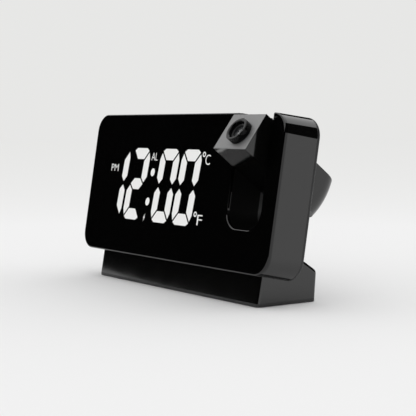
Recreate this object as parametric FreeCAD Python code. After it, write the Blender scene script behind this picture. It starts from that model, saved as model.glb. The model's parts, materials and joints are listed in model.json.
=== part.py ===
import FreeCAD, Part
import math
import os

# Projection alarm clock: a leaning display case on a low base, with a projector arm
# that turns in a slot of the case. Millimetres, +Z up, the front faces -Y.
# The origin is the centre of the anti-slip pad's underside, on the table.

V = FreeCAD.Vector
X_AXIS = V(1, 0, 0)
Y_AXIS = V(0, 1, 0)
Z_AXIS = V(0, 0, 1)

# Case, in its own frame: x to the right, y back from the front face, z up along the face
case_width = 190.0
case_height = 84.7
case_depth = 23.6
case_corner = 10.5
case_flare = 0.9
case_lean_deg = 9.3
case_front_y = -25.0
case_bottom_z = 17.8
panel_thickness = 2.0
panel_edge_round = 0.7
case_wall = 2.0
front_wall = 1.8
cover_thickness = 2.2
cover_edge_round = 1.2
cover_lip = 1.2
cover_lip_depth = 1.6

# Display
mask_side_gap = 17.0
mask_slot_gap = 12.7
mask_bottom = 14.0
mask_top_gap = 13.7
mask_flange = 1.0
mask_flange_thickness = 1.5
digit_left_margin = 5.8
digit_right_margin = 16.2
digit_foot_margin = 6.8
digit_head_margin = 6.9
hour_gap = 2.5
colon_space = 11.45
minute_gap = 2.45
digit_slant_deg = 5.0
bar_upright = 5.9
bar_level = 6.6
bar_gap = 1.05
bar_tip = 3.4
bar_corner_cut = 1.5
colon_gap = 5.7
colon_above = 7.45
colon_below = 10.05
colon_width = 4.3
colon_height = 4.8
colon_sides = 16
symbol_window = (8.4, 5.5)
pm_right = 4.7
pm_up = 9.15
alarm_mark_right = 0.6
alarm_mark_up = 16.85
celsius_inset = 10.0
celsius_up = 16.95
fahrenheit_inset = 11.0
fahrenheit_down = 16.85
board_thickness = 1.6
display_board_side = 3.0
display_board_rim = 5.5
display_post_radius = 2.2
display_post_inset = 6.0
display_post_gap = 0.2
led_size = (3.0, 1.4, 1.1)

# Slot for the projector arm, and the arm's pivot
slot_side_gap = 25.9
slot_width = 29.6
slot_reach = 41.1
slot_corner = 10.2
slot_wall = 1.6
pivot_ahead = 0.3
pivot_top_gap = 22.4

# Projector arm, upright in the slot; it is then turned forward to its place at rest
arm_rest_deg = 62.2
arm_width = 28.0
arm_thickness = 22.5
arm_reach = 40.6
arm_corner = 9.7
arm_head = 23.5
arm_wall = 1.8
arm_rim = 1.0
arm_cover_thickness = 1.6
arm_edge_round = 0.4
arm_screw_above = 12.7
arm_screw_below = 17.6
pin_radius = 3.0
pin_bore = 1.6
pin_clearance = 0.05
pin_in_arm = 4.0
pin_in_case = 5.0
hub_radius = 5.6
washer_radius = 7.0
washer_clearance = 0.1

# Projector optics, measured down from the lens face
lens_offset_x = 3.0
lens_offset_y = -1.5
ring_radius = 7.0
ring_height = 4.0
ring_bore = 5.15
ring_neck = 6.0
ring_gap = 0.3
ring_grip_depth = 0.35
ring_grips = 30
ring_chamfer = 0.4
neck_length = 3.0
clip_radius = 7.6
clip_thickness = 0.6
cell_radius = 4.85
cell_bore = 4.25
cell_top = 2.2
cell_bottom = 9.0
cell_lip = 0.5
lens_thickness = 2.6
lens_bulge = 0.8
holder_half_width = 6.0
holder_top = 4.0
holder_bottom = 29.0
film_size = 10.8
film_depth = 15.0
film_thickness = 1.2
condenser_radius = 5.0
condenser_depth = 18.0
condenser_thickness = 3.5
lamp_bore = 4.4
lamp_board_size = 11.0
lamp_board_depth = 26.0
lamp_board_thickness = 1.2
lamp_size = 3.0
lamp_height = 0.9

# Boards and what is on them
main_board_space = 7.0
board_gap = 3.8
main_board_side_gap = 4.0
main_board_slot_gap = 3.7
main_board_bottom = 18.0
main_board_top_gap = 13.2
post_radius = 3.0
post_bite = 0.5
board_post_inset = 2.8
board_post_low = 10.0
board_post_drop = 15.5
header_length = 30.0
header_width = 2.5
header_above_mask = 8.0
switch_size = 6.0
switch_height = 3.0
switch_inset = 1.0
actuator_radius = 1.7
side_actuator_radius = 1.2
press_gap = 0.1
stem_board_gap = 0.25
actuator_height = 0.6
chip_size = 12.0
chip_height = 1.4
chip_above_socket = 18.0
capacitor_radius = 3.15
capacitor_height = 4.6
capacitor_beside_socket = 13.0
capacitor_above_socket = 2.0
capacitor_pitch = 8.0
buzzer_radius = 11.0
buzzer_thickness = 3.0
buzzer_mouth = 1.0
buzzer_beside_cell = 41.0
buzzer_z = 36.0
sound_hole_radius = 0.9
sound_hole_ring = 5.0

# Buttons and the snooze key
button_row_drop = 9.5
button_row_inset = 33.0
button_count = 5
button_pitch = 15.0
button_radius = 3.6
button_proud = 0.9
button_travel = 0.6
button_clearance = 0.3
flange_width = 1.0
flange_thickness = 0.8
snooze_side_gap = 40.0
snooze_slot_gap = 54.1
snooze_front = 6.5
snooze_rear_gap = 3.9
snooze_thickness = 2.4
snooze_corner = 3.0

# Backup cell and its door
cell_side_gap = 40.0
cell_z = 36.0
coin_radius = 10.0
coin_thickness = 3.2
coin_edge_round = 0.4
holder_wall = 1.4
coin_clearance = 0.3
holder_floor = 0.8
contact_width = 4.0
contact_thickness = 0.3
door_width = 28.0
door_height = 27.0
door_thickness = 1.4
door_ledge = 1.2
door_corner = 2.5
door_clearance = 0.3
door_catch = 0.6
grip_count = 4
grip_length = 10.0
grip_width = 0.9
grip_depth = 0.5
grip_inset = 5.0

# Power socket
socket_board_gap = 27.0
socket_z = 30.0
socket_width = 9.0
socket_height = 3.3
socket_wall = 0.35
socket_back = 1.5
socket_sunk = 0.3
socket_roundness = 0.98
tongue_width = 6.7
tongue_height = 0.7
tongue_length = 4.6
socket_clearance = 0.3

# Screws
screw_shank = 1.1
screw_head = 2.4
screw_head_height = 1.4
screw_clearance = 0.25
cross_width = 0.7
cross_length = 2.8
cross_depth = 0.7
case_screw_inset = 8.2
case_screw_low = 12.5
case_screw_drop = 8.0
case_screw_grip = 8.0
board_screw_grip = 5.0
display_screw_grip = 3.5
arm_screw_grip = 6.0
arm_screw_sunk = 1.0
arm_screw_inset = 3.9
plate_screw_grip = 6.0
plate_screw_sunk = 1.0

# Base
base_width = 163.5
base_depth = 39.5
base_front_lean_deg = 9.9
base_rear_lean_deg = 4.4
base_slope_deg = 33.0
base_cup_height = 16.0
base_wall = 2.0
base_corner = 2.0
base_rear_round = 3.0
plate_thickness = 1.6
plate_screw_inset = 7.75
base_post_height = 9.0
base_rib_thickness = 1.6
fixing_screw_left_inset = 23.75
fixing_screw_right_inset = 39.75
fixing_screw_behind_middle = 1.2
fixing_screw_length = 7.0
fixing_screw_slack = 0.2
fixing_boss = 3.5
pad_proud = 0.4
pad_seat = 0.6
pad_side_gap = 16.75
pad_front_gap = 8.75
pad_corner = 4.0

# Worked out from the sizes above: the case and its slot
half_width = case_width / 2
case_split = case_depth - cover_thickness
wall_back = panel_thickness + front_wall
slot_half = slot_width / 2
slot_x = half_width - slot_side_gap
slot_left_wall = slot_x - slot_half - slot_wall
pivot_y = case_depth / 2 - pivot_ahead
pivot_z = case_height - pivot_top_gap

# The arm
arm_half = arm_width / 2
arm_front = pivot_y - arm_thickness / 2
arm_back = pivot_y + arm_thickness / 2
arm_top = pivot_z + arm_head
lens_x = slot_x + lens_offset_x
lens_y = pivot_y + lens_offset_y

# The boards
main_board_y = case_split - main_board_space
main_board_back = main_board_y + board_thickness
main_board_left = -half_width + main_board_side_gap
main_board_right = slot_left_wall - main_board_slot_gap
main_board_top = case_height - main_board_top_gap
switch_top = main_board_back + switch_height + actuator_height

# The display
mask_left = -half_width + mask_side_gap
mask_right = slot_left_wall - mask_slot_gap
mask_top = case_height - mask_top_gap
mask_back = main_board_y - board_gap - board_thickness
digit_margins = digit_left_margin + hour_gap + colon_space + minute_gap + digit_right_margin
digit_width = (mask_right - mask_left - digit_margins) / 4
digit_height = mask_top - mask_bottom - digit_foot_margin - digit_head_margin
digit_bottom = mask_bottom + digit_foot_margin
digit_half = digit_height / 2
digit_centre_z = digit_bottom + digit_half
hour_tens = mask_left + digit_left_margin
hour_units = hour_tens + digit_width + hour_gap
minute_tens = hour_units + digit_width + colon_space
minute_units = minute_tens + digit_width + minute_gap
digit_lefts = (hour_tens, hour_units, minute_tens, minute_units)
colon_x = hour_units + digit_width + colon_gap
colon_heights = (digit_centre_z - colon_below, digit_centre_z + colon_above)
symbol_centres = ((hour_tens + pm_right, digit_centre_z + pm_up),
                  (colon_x + alarm_mark_right, digit_centre_z + alarm_mark_up),
                  (mask_right - celsius_inset, digit_centre_z + celsius_up),
                  (mask_right - fahrenheit_inset, digit_centre_z - fahrenheit_down))

# The controls and what stands behind the cover
button_row_z = main_board_top - button_row_drop
button_row_x = -half_width + button_row_inset
snooze_left = -half_width + snooze_side_gap
snooze_right = slot_x - snooze_slot_gap
snooze_back = case_split - snooze_rear_gap
cell_x = -half_width + cell_side_gap
buzzer_x = cell_x + buzzer_beside_cell
socket_x = main_board_right - socket_board_gap

# The base
base_half = base_width / 2
base_front_y = -base_depth / 2
plate_top = pad_proud + plate_thickness
plate_screw_x = base_half - plate_screw_inset
plate_screw_y = base_depth / 2 - plate_screw_inset
fixing_screw_left = -base_half + fixing_screw_left_inset
fixing_screw_right = base_half - fixing_screw_right_inset
fixing_screw_xs = (fixing_screw_left, (fixing_screw_left + fixing_screw_right) / 2, fixing_screw_right)
fixing_screw_y = case_depth / 2 + fixing_screw_behind_middle
REACH = 60.0


def block(x0, x1, y0, y1, z0, z1):
    return Part.makeBox(x1 - x0, y1 - y0, z1 - z0, V(x0, y0, z0))


def rod(radius, start, direction, length):
    return Part.makeCylinder(radius, length, start, direction)


def tube(outer, inner, start, direction, length):
    return rod(outer, start, direction, length).cut(rod(inner, start, direction, length))


def polygon(points):
    return Part.Face(Part.makePolygon(points + [points[0]]))


def plate_xz(points, y0, y1):
    return polygon([V(x, y0, z) for x, z in points]).extrude(V(0, y1 - y0, 0))


def rounded_wire(x0, x1, z0, z1, radius, y):
    """A rounded rectangle that stands at depth y."""
    s = radius * (1 - math.sqrt(0.5))
    corners = [
        ((x1, z0 + radius), (x1, z1 - radius)), ((x1 - s, z1 - s), (x1 - radius, z1)),
        ((x0 + radius, z1), (x0 + s, z1 - s)), ((x0, z1 - radius), (x0, z0 + radius)),
        ((x0 + s, z0 + s), (x0 + radius, z0)), ((x1 - radius, z0), (x1 - s, z0 + s)),
    ]
    right, top_right, top_left, left, bottom_left, bottom_right = corners

    def at(point):
        return V(point[0], y, point[1])

    edges = [
        Part.makeLine(at(right[0]), at(right[1])),
        Part.Arc(at(right[1]), at(top_right[0]), at(top_right[1])).toShape(),
        Part.makeLine(at(top_right[1]), at(top_left[0])),
        Part.Arc(at(top_left[0]), at(top_left[1]), at(left[0])).toShape(),
        Part.makeLine(at(left[0]), at(left[1])),
        Part.Arc(at(left[1]), at(bottom_left[0]), at(bottom_left[1])).toShape(),
        Part.makeLine(at(bottom_left[1]), at(bottom_right[0])),
        Part.Arc(at(bottom_right[0]), at(bottom_right[1]), at(right[0])).toShape(),
    ]
    return Part.Wire(edges)


def rounded_plate(x0, x1, z0, z1, radius, y0, y1):
    face = Part.Face(rounded_wire(x0, x1, z0, z1, radius, y0))
    return face.extrude(V(0, y1 - y0, 0))


def case_outline(inset, y):
    """The case's outline at depth y; it grows by case_flare towards the back."""
    grow = case_flare * y / case_depth - inset
    return rounded_wire(-half_width - grow, half_width + grow, -grow, case_height + grow,
                        case_corner + grow, y)


def case_body(inset, y0, y1):
    return Part.makeLoft([case_outline(inset, y0), case_outline(inset, y1)], True, True)


def case_bottom_at(y):
    return -case_flare * y / case_depth


def wheel(reach, half, corner):
    """A round-edged disc about the arm's pivot: what the arm's tail sweeps."""
    s = corner * (1 - math.sqrt(0.5))

    def at(x, r):
        return V(slot_x + x, pivot_y, pivot_z - r)

    edges = [
        Part.makeLine(at(-half, 0), at(-half, reach - corner)),
        Part.Arc(at(-half, reach - corner), at(-half + s, reach - s), at(-half + corner, reach)).toShape(),
        Part.makeLine(at(-half + corner, reach), at(half - corner, reach)),
        Part.Arc(at(half - corner, reach), at(half - s, reach - s), at(half, reach - corner)).toShape(),
        Part.makeLine(at(half, reach - corner), at(half, 0)),
        Part.makeLine(at(half, 0), at(-half, 0)),
    ]
    return Part.Face(Part.Wire(edges)).revolve(V(0, pivot_y, pivot_z), X_AXIS, 360)


def slot_space(grow):
    """The slot, open at the top, with a scooped and round-cornered bottom."""
    half = slot_half + grow
    above = block(slot_x - half, slot_x + half, pivot_y - REACH, pivot_y + REACH, pivot_z, pivot_z + REACH)
    return wheel(slot_reach + grow, half, slot_corner + grow).fuse(above)


def arm_body(inset, y0, y1):
    """The upright arm's outline, from depth y0 to y1: a flat lens face and a round tail."""
    half = arm_half - inset
    x0 = slot_x - half
    x1 = slot_x + half
    tail = wheel(arm_reach - inset, half, arm_corner - inset)
    tail = tail.common(block(x0, x1, y0, y1, pivot_z - REACH, pivot_z))
    head = block(x0, x1, y0, y1, pivot_z, arm_top - inset)
    return tail.fuse(head).removeSplitter()


def screw(tip, direction, length):
    """A cross-recessed screw; direction points from its tip to its head."""
    shape = Part.makeCylinder(screw_shank, length)
    shape = shape.fuse(Part.makeCylinder(screw_head, screw_head_height, V(0, 0, length)))
    top = length + screw_head_height
    for long_x in (True, False):
        a = cross_length / 2 if long_x else cross_width / 2
        b = cross_width / 2 if long_x else cross_length / 2
        shape = shape.cut(block(-a, a, -b, b, top - cross_depth, top))
    turn = FreeCAD.Rotation(Z_AXIS, direction)
    shape.Placement = FreeCAD.Placement(tip, turn)
    return shape


def edges_at_depth(shape, y):
    return [e for e in shape.Edges if all(abs(v.Point.y - y) < 0.001 for v in e.Vertexes)]


def upright_edges(shape):
    """The edges that stand along Z."""
    found = []
    for edge in shape.Edges:
        if len(edge.Vertexes) == 2:
            run = edge.Vertexes[1].Point - edge.Vertexes[0].Point
            if abs(run.z) > 0.99 * run.Length:
                found.append(edge)
    return found


def group(shapes):
    return Part.makeCompound(shapes)


def fused(shapes):
    return shapes[0].fuse(shapes[1:]).removeSplitter()


# Digits: the seven bars of one digit, from its lower left corner
def digit_bars():
    w, h, m, g = digit_width, digit_height, digit_half, bar_gap
    cut = bar_corner_cut
    level_in = bar_upright + g / 2
    top = [(g * 2, h - cut), (g * 2 + cut * 1.6, h), (w - g * 2 - cut * 1.6, h), (w - g * 2, h - cut),
           (w - level_in, h - bar_level), (level_in, h - bar_level)]
    half_bar = bar_level / 2
    middle = [(bar_tip, m), (bar_tip * 2, m + half_bar), (w - bar_tip * 2, m + half_bar), (w - bar_tip, m),
              (w - bar_tip * 2, m - half_bar), (bar_tip * 2, m - half_bar)]
    upper_right = [(w - cut, h - cut - g), (w, h - bar_level + g / 2), (w, m + bar_tip + g),
                   (w - bar_upright / 2, m + g), (w - bar_upright, m + bar_tip + g / 2),
                   (w - bar_upright, h - bar_level - g)]
    upper_left = [(w - x, z) for x, z in upper_right]
    lower_right = [(x, h - z) for x, z in upper_right]
    lower_left = [(w - x, h - z) for x, z in upper_right]
    bottom = [(x, h - z) for x, z in top]
    return {"top": top, "upper_right": upper_right, "lower_right": lower_right, "bottom": bottom,
            "lower_left": lower_left, "upper_left": upper_left, "middle": middle}


def slanted(x, z):
    return (x + math.tan(math.radians(digit_slant_deg)) * (z - digit_centre_z), z)


def bar_outline(left, points):
    return [slanted(left + x, digit_bottom + z) for x, z in points]


LIT = {
    "one": ("upper_right", "lower_right"),
    "two": ("top", "upper_right", "middle", "lower_left", "bottom"),
    "nought": ("top", "upper_right", "lower_right", "bottom", "lower_left", "upper_left"),
}
TIME_SHOWN = ("one", "two", "nought", "nought")


def lit_bars():
    bars = digit_bars()
    return [bar_outline(left, bars[name])
            for left, figure in zip(digit_lefts, TIME_SHOWN) for name in LIT[figure]]


def all_bars():
    """Every bar of the display; the first digit shows only 1 or 2, so it lacks one."""
    outlines = []
    for place, left in enumerate(digit_lefts):
        for name, points in digit_bars().items():
            if place > 0 or name != "upper_left":
                outlines.append(bar_outline(left, points))
    return outlines


def colon_outlines():
    outlines = []
    turns = [2 * math.pi * (i + 0.5) / colon_sides for i in range(colon_sides)]
    for z in colon_heights:
        outlines.append([slanted(colon_x + math.cos(turn) * colon_width / 2,
                                 z + math.sin(turn) * colon_height / 2) for turn in turns])
    return outlines


# Front panel and display
def front_panel():
    panel = case_body(0, 0, panel_thickness)
    panel = panel.makeFillet(panel_edge_round, edges_at_depth(panel, 0)).cut(slot_space(0))
    slot_rim = [e for e in edges_at_depth(panel, 0)
                if abs(e.CenterOfMass.x - slot_x) < slot_half + 0.1
                and e.CenterOfMass.z < case_height - panel_edge_round * 2]
    panel = panel.makeFillet(panel_edge_round, slot_rim)
    windows = [plate_xz(o, -1, panel_thickness + 1) for o in lit_bars() + colon_outlines()]
    return panel.cut(windows)


def digit_segments():
    return group([plate_xz(o, 0, panel_thickness) for o in lit_bars()])


def colon_dots():
    return group([plate_xz(o, 0, panel_thickness) for o in colon_outlines()])


def light_mask():
    body = block(mask_left, mask_right, panel_thickness, mask_back, mask_bottom, mask_top)
    flange = block(mask_left - mask_flange, mask_right + mask_flange, wall_back,
                   wall_back + mask_flange_thickness, mask_bottom - mask_flange, mask_top + mask_flange)
    outlines = all_bars() + colon_outlines()
    wells = [plate_xz(o, panel_thickness - 1, mask_back + 1) for o in outlines]
    a = symbol_window[0] / 2
    b = symbol_window[1] / 2
    for x, z in symbol_centres:
        wells.append(block(x - a, x + a, panel_thickness - 1, mask_back + 1, z - b, z + b))
    return body.fuse(flange).cut(wells)


def display_board():
    side = display_board_side
    rim = display_board_rim
    board = block(mask_left - side, mask_right + side, mask_back, mask_back + board_thickness,
                  mask_bottom - rim, mask_top + rim)
    holes = [rod(screw_shank + screw_clearance, V(x, mask_back - 1, z), Y_AXIS, board_thickness + 2)
             for x, z in display_screw_places()]
    return board.cut(holes)


def display_screw_places():
    out = mask_flange + display_post_radius + display_post_gap
    return [(x, z) for x in (mask_left + display_post_inset, mask_right - display_post_inset)
            for z in (mask_bottom - out, mask_top + out)]


def outline_centre(outline):
    xs = [x for x, z in outline]
    zs = [z for x, z in outline]
    return ((min(xs) + max(xs)) / 2, (min(zs) + max(zs)) / 2)


def segment_leds():
    wide, tall, deep = led_size
    chips = []
    for x, z in [outline_centre(o) for o in all_bars() + colon_outlines()] + list(symbol_centres):
        chips.append(block(x - wide / 2, x + wide / 2, mask_back - deep, mask_back, z - tall / 2, z + tall / 2))
    return group(chips)


# Front housing: the side walls, the wall behind the panel, the slot's walls and the posts
def case_screw_places():
    side = half_width - case_screw_inset
    high = case_height - case_screw_inset
    beside_slot = slot_half + slot_wall + post_radius - post_bite
    return [(-side, high), (-side, case_screw_low), (side, case_screw_low),
            (slot_x - beside_slot, high), (slot_x + beside_slot, high - case_screw_drop)]


def main_screw_places():
    i = board_post_inset
    heights = (main_board_bottom + board_post_low, main_board_top - board_post_drop)
    return [(x, z) for x in (main_board_left + i, main_board_right - i) for z in heights]


def post(x, z, y0, y1):
    return rod(post_radius, V(x, y0, z), Y_AXIS, y1 - y0)


def front_housing():
    shell = case_body(0, panel_thickness, case_split)
    cavity = case_body(case_wall, wall_back, case_split + 1)
    inside = case_body(case_wall / 2, panel_thickness, case_split)
    added = [slot_space(slot_wall).common(inside)]
    for x, z in case_screw_places():
        added.append(post(x, z, wall_back, case_split))
    for x, z in main_screw_places():
        added.append(post(x, z, wall_back, main_board_y))
    for x, z in display_screw_places():
        added.append(rod(display_post_radius, V(x, wall_back, z), Y_AXIS, mask_back - wall_back))
    for x in fixing_screw_xs:
        foot = V(x, fixing_screw_y, case_bottom_at(fixing_screw_y) + case_wall / 2)
        added.append(rod(fixing_boss, foot, Z_AXIS, fixing_screw_length))
    for side in (-1, 1):
        start = V(slot_x + side * slot_half, pivot_y, pivot_z)
        added.append(rod(hub_radius, start, X_AXIS * side, pin_in_case))
    housing = fused([shell.cut(cavity)] + added)

    removed = [slot_space(0)]
    removed.append(block(mask_left, mask_right, 0, wall_back + 1, mask_bottom, mask_top))
    flange = mask_flange
    removed.append(block(mask_left - flange, mask_right + flange, wall_back,
                         wall_back + mask_flange_thickness, mask_bottom - flange, mask_top + flange))
    removed.append(snooze_opening(0, case_height - REACH / 4, case_height + REACH))
    for side in (-1, 1):
        start = V(slot_x + side * slot_half, pivot_y, pivot_z)
        removed.append(rod(pin_radius, start, X_AXIS * side, pin_in_case))
    for x, z in case_screw_places():
        tip = V(x, case_split - case_screw_grip, z)
        removed.append(rod(screw_shank, tip, Y_AXIS, case_screw_grip + 1))
    for x, z in main_screw_places():
        tip = V(x, main_board_y - board_screw_grip, z)
        removed.append(rod(screw_shank, tip, Y_AXIS, board_screw_grip + 1))
    for x, z in display_screw_places():
        tip = V(x, mask_back - display_screw_grip, z)
        removed.append(rod(screw_shank, tip, Y_AXIS, display_screw_grip + 1))
    for x in fixing_screw_xs:
        start = V(x, fixing_screw_y, case_bottom_at(fixing_screw_y) - 1)
        removed.append(rod(screw_shank, start, Z_AXIS, fixing_screw_length))
    return housing.cut(removed)


def snooze_opening(inset, z0, z1):
    """The snooze key's outline, standing upright."""
    x0 = snooze_left + inset
    x1 = snooze_right - inset
    y0 = snooze_front + inset
    y1 = snooze_back - inset
    shape = block(x0, x1, y0, y1, z0, z1)
    return shape.makeFillet(snooze_corner - inset, upright_edges(shape))


def snooze_key():
    bottom = case_height - snooze_thickness
    cap = snooze_opening(button_clearance, bottom, case_height + 2).common(case_body(0, 0, case_depth))
    under_wall = case_height - case_wall - button_clearance
    wide = snooze_opening(button_clearance - flange_width, under_wall - flange_thickness, under_wall)
    middle = (snooze_left + snooze_right) / 2
    half = switch_height / 2
    y = main_board_y - half
    stem_low = main_board_top - switch_inset + actuator_height + button_travel + press_gap
    stem_back = main_board_y - stem_board_gap
    stem = block(middle - half, middle + half, y - half, stem_back, stem_low, under_wall)
    return fused([cap, wide, stem])


def snooze_switch():
    """A switch on the board's front side that is pressed from above."""
    middle = (snooze_left + snooze_right) / 2
    top = main_board_top - switch_inset
    half = switch_size / 2
    body = block(middle - half, middle + half, main_board_y - switch_height, main_board_y,
                 top - switch_size, top)
    centre = V(middle, main_board_y - switch_height / 2, top)
    return body.fuse(rod(side_actuator_radius, centre, Z_AXIS, actuator_height))


# Rear cover, with its openings
def rear_cover():
    cover = case_body(0, case_split, case_depth)
    cover = cover.makeFillet(cover_edge_round, edges_at_depth(cover, case_depth))
    lip_outer = case_body(case_wall, case_split - cover_lip_depth, case_split)
    lip_inner = case_body(case_wall + cover_lip, case_split - cover_lip_depth - 1, case_split + 1)
    lip = lip_outer.cut(lip_inner).cut(slot_space(slot_wall))
    for x, z in case_screw_places():
        lip = lip.cut(post(x, z, case_split - cover_lip_depth - 1, case_split))
    cover = fused([cover] + lip.Solids)

    removed = [slot_space(0)]
    for x, z in case_screw_places():
        seat = V(x, case_depth - screw_head_height, z)
        removed.append(rod(screw_head + screw_clearance, seat, Y_AXIS, screw_head_height + 1))
        removed.append(rod(screw_shank + screw_clearance, V(x, case_split - 1, z), Y_AXIS, cover_thickness))
    for x in button_places():
        start = V(x, case_split - 1, button_row_z)
        removed.append(rod(button_radius + button_clearance, start, Y_AXIS, cover_thickness + 2))
    removed += [door_shape(0, case_depth - door_thickness, case_depth + 1),
                door_shape(door_ledge, case_split - 1, case_depth)]
    a = socket_width / 2 + socket_clearance
    b = socket_height / 2 + socket_clearance
    removed.append(rounded_plate(socket_x - a, socket_x + a, socket_z - b, socket_z + b,
                                 b * socket_roundness, case_split - 1, case_depth + 1))
    for x, z in sound_hole_places():
        removed.append(rod(sound_hole_radius, V(x, case_split - 1, z), Y_AXIS, cover_thickness + 2))
    return cover.cut(removed)


def button_places():
    return [button_row_x + i * button_pitch for i in range(button_count)]


def sound_hole_places():
    turns = [math.radians(a) for a in range(0, 360, 60)]
    ring = [(buzzer_x + sound_hole_ring * math.cos(turn), buzzer_z + sound_hole_ring * math.sin(turn))
            for turn in turns]
    return [(buzzer_x, buzzer_z)] + ring


def rear_button(place):
    x = button_places()[place]
    cap_start = case_split - button_clearance - flange_thickness
    cap = rod(button_radius, V(x, cap_start, button_row_z), Y_AXIS,
              case_depth + button_proud - cap_start)
    edge = [e for e in cap.Edges if len(e.Vertexes) == 1 and e.CenterOfMass.y > case_depth]
    cap = cap.makeFillet(button_proud * 0.5, edge)
    flange = rod(button_radius + flange_width, V(x, cap_start, button_row_z), Y_AXIS, flange_thickness)
    stem_end = switch_top + button_travel + press_gap
    stem = rod(actuator_radius, V(x, stem_end, button_row_z), Y_AXIS, cap_start + flange_thickness - stem_end)
    return fused([cap, flange, stem])


def tact_switches():
    half = switch_size / 2
    shapes = []
    for x in button_places():
        body = block(x - half, x + half, main_board_back, main_board_back + switch_height,
                     button_row_z - half, button_row_z + half)
        start = V(x, main_board_back + switch_height, button_row_z)
        shapes.append(body.fuse(rod(actuator_radius, start, Y_AXIS, actuator_height)))
    return group(shapes)


# Main board and what it carries
def main_board():
    board = block(main_board_left, main_board_right, main_board_y, main_board_back,
                  main_board_bottom, main_board_top)
    holes = [rod(screw_shank + screw_clearance, V(x, main_board_y - 1, z), Y_AXIS, board_thickness + 2)
             for x, z in main_screw_places()]
    return board.cut(holes)


def board_header():
    y0 = mask_back + board_thickness
    middle = (mask_left + mask_right) / 2
    low = mask_bottom + header_above_mask
    return block(middle - header_length / 2, middle + header_length / 2, y0, main_board_y,
                 low, low + header_width)


def controller_chip():
    x = socket_x
    z = socket_z + chip_above_socket
    half = chip_size / 2
    return block(x - half, x + half, main_board_back, main_board_back + chip_height, z - half, z + half)


def capacitors():
    x = socket_x - capacitor_beside_socket
    low = socket_z + capacitor_above_socket
    return group([rod(capacitor_radius, V(x, main_board_back, z), Y_AXIS, capacitor_height)
                  for z in (low, low + capacitor_pitch)])


def buzzer():
    start = V(buzzer_x, case_split - buzzer_thickness, buzzer_z)
    body = rod(buzzer_radius, start, Y_AXIS, buzzer_thickness)
    mouth = V(buzzer_x, case_split - buzzer_mouth, buzzer_z)
    return body.cut(rod(sound_hole_ring + 2 * sound_hole_radius, mouth, Y_AXIS, buzzer_mouth))


# Backup cell
def cell_tray():
    outer = coin_radius + coin_clearance + holder_wall
    depth = holder_floor + coin_thickness
    tray = rod(outer, V(cell_x, main_board_back, cell_z), Y_AXIS, depth)
    floor = V(cell_x, main_board_back + holder_floor, cell_z)
    pocket = rod(coin_radius + coin_clearance, floor, Y_AXIS, depth)
    thumb_gap = block(cell_x - contact_width, cell_x + contact_width, main_board_back + holder_floor,
                      main_board_back + depth + 1, cell_z - outer - 1, cell_z)
    return tray.cut(pocket).cut(thumb_gap)


def coin_cell():
    body = rod(coin_radius, V(cell_x, main_board_back + holder_floor, cell_z), Y_AXIS, coin_thickness)
    return body.makeFillet(coin_edge_round, [e for e in body.Edges if len(e.Vertexes) == 1])


def cell_contact():
    top = main_board_back + holder_floor + coin_thickness
    outer = cell_z + coin_radius + coin_clearance + holder_wall
    half = contact_width / 2
    strip = block(cell_x - half, cell_x + half, top, top + contact_thickness,
                  cell_z, outer + contact_thickness)
    leg = block(cell_x - half, cell_x + half, main_board_back, top, outer, outer + contact_thickness)
    return strip.fuse(leg).removeSplitter()


def door_shape(inset, y0, y1):
    a = door_width / 2 - inset
    b = door_height / 2 - inset
    return rounded_plate(cell_x - a, cell_x + a, cell_z - b, cell_z + b, door_corner - inset * 0.5, y0, y1)


def battery_door():
    door = door_shape(door_clearance, case_depth - door_thickness, case_depth)
    tongue_half = door_width / 4
    low = cell_z - door_height / 2 + door_ledge + door_clearance
    high = cell_z + door_height / 2 - door_ledge - door_clearance
    catches = [block(cell_x - tongue_half, cell_x + tongue_half, case_split - door_catch,
                     case_depth - door_thickness, z - door_catch, z + door_catch)
               for z in (low + door_catch, high - door_catch)]
    grips = []
    for i in range(grip_count):
        z = cell_z - door_height / 2 + grip_inset + i * 2 * grip_width
        grips.append(block(cell_x - grip_length / 2, cell_x + grip_length / 2, case_depth - grip_depth,
                           case_depth + 1, z - grip_width / 2, z + grip_width / 2))
    return fused([door] + catches).cut(grips)


# Power socket: a metal shell and its tongue
def power_socket():
    a = socket_width / 2
    b = socket_height / 2
    end = case_depth - socket_sunk
    shell = rounded_plate(socket_x - a, socket_x + a, socket_z - b, socket_z + b,
                          b * socket_roundness, main_board_back, end)
    w = socket_wall
    bore = rounded_plate(socket_x - a + w, socket_x + a - w, socket_z - b + w, socket_z + b - w,
                         (b - w) * socket_roundness, main_board_back + socket_back, end + 1)
    return shell.cut(bore)


def socket_tongue():
    start = main_board_back + socket_back
    return block(socket_x - tongue_width / 2, socket_x + tongue_width / 2, start, start + tongue_length,
                 socket_z - tongue_height / 2, socket_z + tongue_height / 2)


# Screws of the case and its boards
def case_screws():
    length = case_screw_grip + cover_thickness - screw_head_height
    return group([screw(V(x, case_split - case_screw_grip, z), Y_AXIS, length) for x, z in case_screw_places()])


def board_screws():
    main = [screw(V(x, main_board_y - board_screw_grip, z), Y_AXIS, board_screw_grip + board_thickness)
            for x, z in main_screw_places()]
    return group(main)


def display_screws():
    display = [screw(V(x, mask_back - display_screw_grip, z), Y_AXIS, display_screw_grip + board_thickness)
               for x, z in display_screw_places()]
    return group(display)


# Pivot of the arm: two hollow pins and two washers
def pivot_pin(side):
    start = V(slot_x + side * (arm_half - pin_in_arm), pivot_y, pivot_z)
    length = pin_in_arm + slot_half - arm_half + pin_in_case
    return tube(pin_radius, pin_bore, start, X_AXIS * side, length)


def friction_washers():
    thickness = slot_half - arm_half - 2 * washer_clearance
    shapes = []
    for side in (-1, 1):
        start = V(slot_x + side * (arm_half + washer_clearance), pivot_y, pivot_z)
        shapes.append(tube(washer_radius, pin_radius + pin_clearance, start, X_AXIS * side, thickness))
    return group(shapes)


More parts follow.
